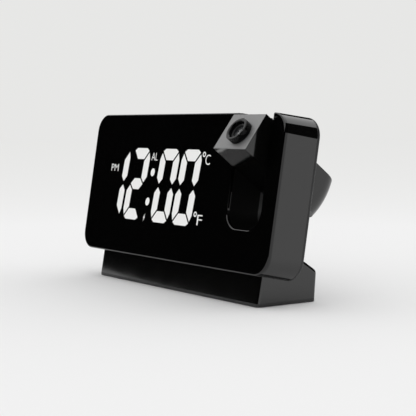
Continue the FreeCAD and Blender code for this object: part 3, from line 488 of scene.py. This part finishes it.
def corners_of(piece, view=Matrix.Identity(4)):
    """The lowest and highest corner of a piece's mesh, in the coordinates that the matrix gives."""
    spots = [view @ vertex.co for vertex in piece.data.vertices]
    return (Vector(min(spot[k] for spot in spots) for k in range(3)),
            Vector(max(spot[k] for spot in spots) for k in range(3)))


def middle_in_case(node):
    """The middle of a solid, in the case's coordinates."""
    low, high = corners_of(frame["nodes"][node], CASE_PLACE.inverted())
    return (low + high) / 2


def on_case(spot, stand):
    """The place of a piece that is stood at a spot of the case."""
    return CASE_PLACE @ Matrix.Translation(spot) @ stand


def sign(name, words, centre, width, height, relief, stand, thinner=0.0):
    """Flat lettering on the case, fitted to millimetres; a width of None keeps the letters' shape."""
    begin()
    bpy.ops.object.text_add(location=(0, 0, 0))
    text = bpy.context.object
    text.data.body = words
    text.data.extrude = 0.02
    text.data.offset = -thinner
    text.data.resolution_u = 6
    bpy.ops.object.convert(target="MESH")
    piece = named(name)
    low, high = corners_of(piece)
    size = high - low
    tall = height * MM / size.y
    wide = width * MM / size.x if width else tall
    fit = Matrix.Diagonal((wide, tall, relief * 2 / size.z, 1))
    settle(piece, on_case(centre, stand) @ fit @ Matrix.Translation(-(low + high) / 2))
    return piece


def plate(name, outline, thickness):
    """A flat piece from its outline in millimetres, across and up, with its middle at height zero."""
    corners = [Vector((across * MM, up * MM, -thickness / 2)) for across, up in outline]
    piece = chain(name, [*corners, corners[0]])
    bpy.ops.mesh.select_all(action="SELECT")
    bpy.ops.mesh.remove_doubles(threshold=0.000001)
    bpy.ops.mesh.edge_face_add()
    bpy.ops.mesh.extrude_region_move(TRANSFORM_OT_translate={"value": (0, 0, thickness)})
    bpy.ops.mesh.select_all(action="SELECT")
    bpy.ops.mesh.normals_make_consistent(inside=False)
    bpy.ops.object.mode_set(mode="OBJECT")
    return piece


class CLOCK_OT_finishes(bpy.types.Operator):
    """Make the finishes and give each solid its own"""
    bl_idname = "clock.finishes"
    bl_label = "Finishes"

    def execute(self, context):
        make_finishes(context.scene.clock_colours)
        for part in frame["record"]["subparts"]:
            solid = frame["nodes"][part["node"]]
            finish = NODE_FINISH.get(part["node"], part["material_slot"])
            solid.data.materials.clear()
            solid.data.materials.append(SLOT_FINISH[finish])
        return {"FINISHED"}


# Lettering of the front: name, words, middle across and up the face, width and height, in millimetres
FRONT_SIGNS = (
    ("sign_pm", "PM", -67.45, 51.55, 8.4, 4.3),
    ("sign_alarm", "AL", -23.5, 59.25, 6.6, 4.5),
    ("sign_celsius", "C", 31.1, 58.7, 4.6, 5.7),
    ("sign_fahrenheit", "F", 30.6, 25.0, 4.8, 5.8),
)

# How much these letters' strokes are thinned, for letters of size 1
LETTER_THINNING = 0.006

# The degree marks: the middle of each, and their outside and inside radius
DEGREE_RINGS = (("degree_celsius", 27.0, 61.6), ("degree_fahrenheit", 25.8, 28.0))
DEGREE_OUTSIDE = 1.5
DEGREE_INSIDE = 0.8
DEGREE_STEPS = 32

# The small charge mark below the colon: its middle, and its outline about that middle
BOLT_MIDDLE = (-26.6, 22.9)
BOLT_OUTLINE = ((0.9, 2.3), (-1.15, -0.35), (-0.1, -0.2), (-0.9, -2.3), (1.15, 0.35), (0.1, 0.2))


class CLOCK_OT_front_signs(bpy.types.Operator):
    """Lit signs beside the digits"""
    bl_idname = "clock.front_signs"
    bl_label = "Front signs"

    def execute(self, context):
        relief = context.scene.clock_sizes.sign_relief
        for name, words, x, z, width, height in FRONT_SIGNS:
            piece = sign(name, words, (x * MM, 0, z * MM), width, height, relief, FRONT, LETTER_THINNING)
            dress(piece, "lit_display", "clock")
        outer = DEGREE_OUTSIDE * MM
        inner = DEGREE_INSIDE * MM
        model = turned("degree_model", [(outer, -relief), (outer, relief), (inner, relief),
                                        (inner, -relief), (outer, -relief)], DEGREE_STEPS)
        for name, x, z in DEGREE_RINGS:
            piece = copied(model, name)
            settle(piece, on_case((x * MM, 0, z * MM), FRONT))
            dress(piece, "lit_display", "clock")
        bpy.data.objects.remove(model)
        bolt = plate("charge_mark", BOLT_OUTLINE, relief * 2)
        x, z = BOLT_MIDDLE
        settle(bolt, on_case((x * MM, 0, z * MM), FRONT))
        dress(bolt, "lit_display", "clock")
        return {"FINISHED"}


# The buttons on the back: the sign over each, with its width and height, or None for the letters' own
WORD_HEIGHT = 1.9
BUTTON_SIGNS = (
    ("set_button", "SET", None, WORD_HEIGHT),
    ("alarm_button", "ALARM", None, WORD_HEIGHT),
    ("up_button", "+", WORD_HEIGHT, WORD_HEIGHT),
    ("down_button", "-", WORD_HEIGHT, 0.5),
    ("display_button", "LIGHT", None, WORD_HEIGHT),
)
SIGN_OVER_BUTTON = 6.3

# How deep in the case a button and its flange's top are, and how far the flange stands out
BUTTON_DEPTH = 3.3
FLANGE_TOP = 2.5
FLANGE_WIDTH = 1.0

# The edge round a button's face, how much it is rounded, and where it counts as an edge
BUTTON_EDGE = 0.15
BUTTON_ROUND = 0.08
BUTTON_SHARP = math.radians(50)
BUTTON_STEPS = 48

# The dish from its rim to its middle, as shares of the button's radius and of the dish's depth
DISH_SHARES = ((0.72, 0.25), (0.4, 0.8), (0, 1))


class CLOCK_OT_buttons(bpy.types.Operator):
    """Dished buttons on the back and the words over them"""
    bl_idname = "clock.buttons"
    bl_label = "Rear buttons"

    def execute(self, context):
        sizes = context.scene.clock_sizes
        radius = sizes.button_radius
        top = sizes.button_proud
        flange = radius + FLANGE_WIDTH * MM
        edge = BUTTON_EDGE * MM
        dish = sizes.button_dish
        under = -BUTTON_DEPTH * MM
        ledge = -FLANGE_TOP * MM
        profile = [(0, under), (flange, under), (flange, ledge), (radius, ledge),
                   (radius, top - edge * 2), (radius - edge, top - edge * 0.5), (radius - edge * 3, top)]
        profile += [(radius * across, top - dish * down) for across, down in DISH_SHARES]
        model = turned("button_model", profile, BUTTON_STEPS)
        outward = Matrix.Rotation(-math.pi / 2, 4, "X")
        for node, words, width, height in BUTTON_SIGNS:
            spot = middle_in_case(node)
            spot.y = CASE_DEPTH * MM
            button = copied(model, node + "_cap")
            settle(button, on_case(spot, outward))
            round_edges(button, BUTTON_ROUND * MM, BUTTON_SHARP)
            dress(button, "black_plastic", node + "_body")
            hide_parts(node)
            spot.z += SIGN_OVER_BUTTON * MM
            label = sign("label_" + node, words, spot, width, height, sizes.sign_relief, BACK)
            dress(label, "printed_sign", "clock")
        bpy.data.objects.remove(model)
        return {"FINISHED"}


# The snooze key's word, the door's arrow over its middle, and the word over the socket's middle
SNOOZE_SIGN_HEIGHT = 3.2
ARROW_OUTLINE = ((-0.6, -1.5), (0.6, -1.5), (0.6, 0), (1.8, 0), (0, 2.0), (-1.8, 0), (-0.6, 0))
ARROW_OVER_MIDDLE = 6.5
SOCKET_SIGN_RISE = 4.6


class CLOCK_OT_small_signs(bpy.types.Operator):
    """Words on the snooze key and at the power socket, and the door's arrow"""
    bl_idname = "clock.small_signs"
    bl_label = "Small signs"

    def execute(self, context):
        relief = context.scene.clock_sizes.sign_relief
        key = middle_in_case("snooze_key")
        key.z = CASE_HEIGHT * MM + math.tan(TOP_SLOPE) * key.y
        label = sign("label_snooze", "SNOOZE", key, None, SNOOZE_SIGN_HEIGHT, relief, TOP)
        dress(label, "printed_sign", "snooze")
        door = middle_in_case("battery_door")
        door.y = CASE_DEPTH * MM
        door.z += ARROW_OVER_MIDDLE * MM
        arrow = plate("door_arrow", ARROW_OUTLINE, relief * 2)
        settle(arrow, on_case(door, BACK))
        dress(arrow, "printed_sign", "door")
        socket = middle_in_case("power_socket")
        socket.y = CASE_DEPTH * MM
        socket.z += SOCKET_SIGN_RISE * MM
        label = sign("label_socket", "DC 5V", socket, None, WORD_HEIGHT, relief, BACK)
        dress(label, "printed_sign", "clock")
        return {"FINISHED"}


# The focus ring's neck in the lens head, and its plain rim and chamfer beside the grip
NECK_RADIUS = 6.0
NECK_DEPTH = 3.0
RING_RIM = 0.5
RING_CHAMFER = 0.4

# The ring's grip: its rows of pits, and the border and depth of a pit
GRIP_ROWS = 5
PIT_BORDER = 0.06
PIT_DEPTH = 0.3


class CLOCK_OT_focus_ring(bpy.types.Operator):
    """Knurled focus ring in front of the lens"""
    bl_idname = "clock.focus_ring"
    bl_label = "Focus ring"

    def execute(self, context):
        sizes = context.scene.clock_sizes
        outer = sizes.ring_radius
        bore = sizes.ring_bore
        ribs = sizes.ring_ribs
        low = sizes.ring_gap
        high = sizes.ring_gap + sizes.ring_height
        chamfer = RING_CHAMFER * MM
        neck = NECK_RADIUS * MM
        bottom = -NECK_DEPTH * MM
        grip_low = low + RING_RIM * MM
        grip_high = high - chamfer
        row_height = (grip_high - grip_low) / GRIP_ROWS
        profile = [(bore, bottom), (neck, bottom), (neck, low), (outer, low)]
        profile += [(outer, grip_low + row_height * row) for row in range(GRIP_ROWS)]
        profile += [(outer, grip_high), (outer - chamfer, high), (bore + chamfer, high),
                    (bore, high - chamfer), (bore, bottom)]
        piece = turned("focus_ring_knurled", profile, ribs * 2)
        bpy.ops.object.mode_set(mode="EDIT")

        def in_pit(face):
            """Every other face of the grip, a step on in each row; the chamfer lies further in."""
            centre = face.calc_center_median()
            outside = math.hypot(centre.x, centre.y) > outer - chamfer / 4
            row = math.floor((centre.z - grip_low) / row_height)
            step = math.floor(math.atan2(centre.y, centre.x) / math.pi * ribs)
            return outside and 0 <= row < GRIP_ROWS and (row + step) % 2 == 0

        pick_faces(piece, in_pit)
        bpy.ops.mesh.inset(thickness=PIT_BORDER * MM, depth=0, use_individual=True)
        bpy.ops.mesh.extrude_faces_move(TRANSFORM_OT_shrink_fatten={"value": -PIT_DEPTH * MM})
        bpy.ops.object.mode_set(mode="OBJECT")
        settle(piece, LENS_PLACE @ Matrix.Translation((0, 0, LENS_FACE)))
        dress(piece, "ring_black", "focus")
        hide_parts("focus_ring")
        return {"FINISHED"}


# The studio's sizes are in metres. The camera: its place, how it is turned, and its sensor's millimetres
CAMERA_PLACE = (0.5479, -0.3795, 0.0942)
CAMERA_AZIMUTH = math.radians(54.842)
CAMERA_PITCH = math.radians(4.088)
CAMERA_NEAREST = 0.01
SENSOR_WIDTH = 36

# Brightness of the room: the backdrop, what lights the clock, and the sky and roof that the gloss shows
BACKDROP = (0.8, 0.8, 0.79)
DAYLIGHT = 1.06
LOW_GLOW = 0.9
ROOF_GLOW = 1.5

# How high the roof's glow starts and is full, where 0 is level and 1 is overhead
ROOF_START = 0.2
ROOF_FULL = 0.45

# The dark cards round the table: nearer on the right and behind, so they hide more of the roof there
WALL_CENTRE = (-0.6, -0.45)
WALL_RADIUS = 2.55
WALL_LOW = 0.17
WALL_HIGH = 1.6
WALL_GREY = 0.004

# The round floor, and one over the distances between which it passes into the backdrop
FLOOR_RADIUS = 9.0
FLOOR_GREY = 0.84
FLOOR_NEAR = 2.2
FLOOR_FAR = 0.15

# How many sides the floor and the cards have
ROUND_STEPS = 96


class CLOCK_OT_stage(bpy.types.Operator):
    """Floor, room, light and camera"""
    bl_idname = "clock.stage"
    bl_label = "Stage"

    def execute(self, context):
        self.add_camera(context)
        self.add_floor()
        self.add_dark_wall()
        self.light_room(context)
        return {"FINISHED"}

    def add_camera(self, context):
        begin()
        bpy.ops.object.camera_add(location=CAMERA_PLACE,
                                  rotation=(math.pi / 2 - CAMERA_PITCH, 0, CAMERA_AZIMUTH))
        camera = bpy.context.object
        camera.data.lens = context.scene.clock_sizes.camera_lens
        camera.data.sensor_width = SENSOR_WIDTH
        camera.data.clip_start = CAMERA_NEAREST
        context.scene.camera = camera

    def add_floor(self):
        """A pale floor that passes into the backdrop far from the clock."""
        begin()
        bpy.ops.mesh.primitive_circle_add(vertices=ROUND_STEPS, radius=FLOOR_RADIUS, fill_type="NGON")
        floor = named("studio_floor")
        shade = new_shade("studio_floor")
        seen = shade.seen(shade.add("ShaderNodeLightPath"))
        away = shade.add("ShaderNodeVectorMath", {"operation": "LENGTH"}, {0: shade.coordinates()})
        far = shade.spread(1.0 / Value(shade, away.outputs["Value"]), FLOOR_NEAR, FLOOR_FAR)
        near_shader = shade.add("ShaderNodeBsdfDiffuse", None, {"Color": grey(FLOOR_GREY)})
        far_shader = shade.add("ShaderNodeEmission", None, {"Color": BACKDROP})
        mixed = shade.add("ShaderNodeMixShader", None,
                          {0: far * seen, 1: near_shader.outputs[0], 2: far_shader.outputs[0]})
        shade.add("ShaderNodeOutputMaterial", None, {"Surface": mixed.outputs[0]})
        floor.data.materials.append(shade.owner)

    def add_dark_wall(self):
        """Dark cards all round, which only the gloss shows, as in a studio."""
        begin()
        bpy.ops.mesh.primitive_cylinder_add(vertices=ROUND_STEPS, radius=WALL_RADIUS,
                                            depth=WALL_HIGH - WALL_LOW, end_fill_type="NOTHING",
                                            location=(*WALL_CENTRE, (WALL_HIGH + WALL_LOW) / 2))
        wall = named("studio_wall")
        shade = new_shade("studio_wall")
        dark = shade.add("ShaderNodeEmission", None, {"Color": grey(WALL_GREY)})
        shade.add("ShaderNodeOutputMaterial", None, {"Surface": dark.outputs[0]})
        wall.data.materials.append(shade.owner)
        wall.visible_camera = False
        wall.visible_diffuse = False
        wall.visible_shadow = False
        wall.visible_transmission = False

    def light_room(self, context):
        """A world that lights evenly, with a brighter roof for the gloss and a plain backdrop."""
        world = bpy.data.worlds.new("studio_room")
        context.scene.world = world
        shade = Shade(world)
        path = shade.add("ShaderNodeLightPath")
        split = shade.add("ShaderNodeSeparateXYZ", None, {0: shade.coordinates("Generated")})
        height = Value(shade, split.outputs["Z"])
        roof = shade.spread(height, ROOF_START, ROOF_FULL, LOW_GLOW, ROOF_GLOW)
        daylight = shade.add("ShaderNodeBackground", None, {"Color": grey(1.0), "Strength": DAYLIGHT})
        glow = shade.add("ShaderNodeBackground", None, {"Color": grey(1.0), "Strength": roof})
        backdrop = shade.add("ShaderNodeBackground", None, {"Color": BACKDROP, "Strength": 1.0})
        lit = shade.add("ShaderNodeMixShader", None,
                        {0: path.outputs["Is Glossy Ray"], 1: daylight.outputs[0], 2: glow.outputs[0]})
        mixed = shade.add("ShaderNodeMixShader", None,
                          {0: shade.seen(path), 1: lit.outputs[0], 2: backdrop.outputs[0]})
        shade.add("ShaderNodeOutputWorld", None, {"Surface": mixed.outputs[0]})
        context.scene.view_settings.view_transform = "Standard"


OPERATORS = (CLOCK_OT_finishes, CLOCK_OT_front_signs, CLOCK_OT_focus_ring, CLOCK_OT_buttons,
             CLOCK_OT_small_signs, CLOCK_OT_stage)


class CLOCK_PT_sidebar(bpy.types.Panel):
    """Lists the clock's pieces, sizes and colours."""
    bl_idname = "CLOCK_PT_sidebar"
    bl_label = "Projection Alarm Clock"
    bl_space_type = "VIEW_3D"
    bl_region_type = "UI"
    bl_category = "Clock"

    def draw(self, context):
        for operator in OPERATORS:
            self.layout.operator(operator.bl_idname)
        for group in (context.scene.clock_sizes, context.scene.clock_colours):
            for key in group.__annotations__:
                self.layout.prop(group, key)


CLASSES = (ClockColours, ClockSizes, *OPERATORS, CLOCK_PT_sidebar)


def register():
    for item in CLASSES:
        bpy.utils.register_class(item)
    bpy.types.Scene.clock_sizes = PointerProperty(type=ClockSizes)
    bpy.types.Scene.clock_colours = PointerProperty(type=ClockColours)


def unregister():
    del bpy.types.Scene.clock_colours
    del bpy.types.Scene.clock_sizes
    for item in reversed(CLASSES):
        bpy.utils.unregister_class(item)


def main():
    register()
    for operator in OPERATORS:
        group, name = operator.bl_idname.split(".")
        getattr(getattr(bpy.ops, group), name)()


if __name__ == "__main__":
    main()
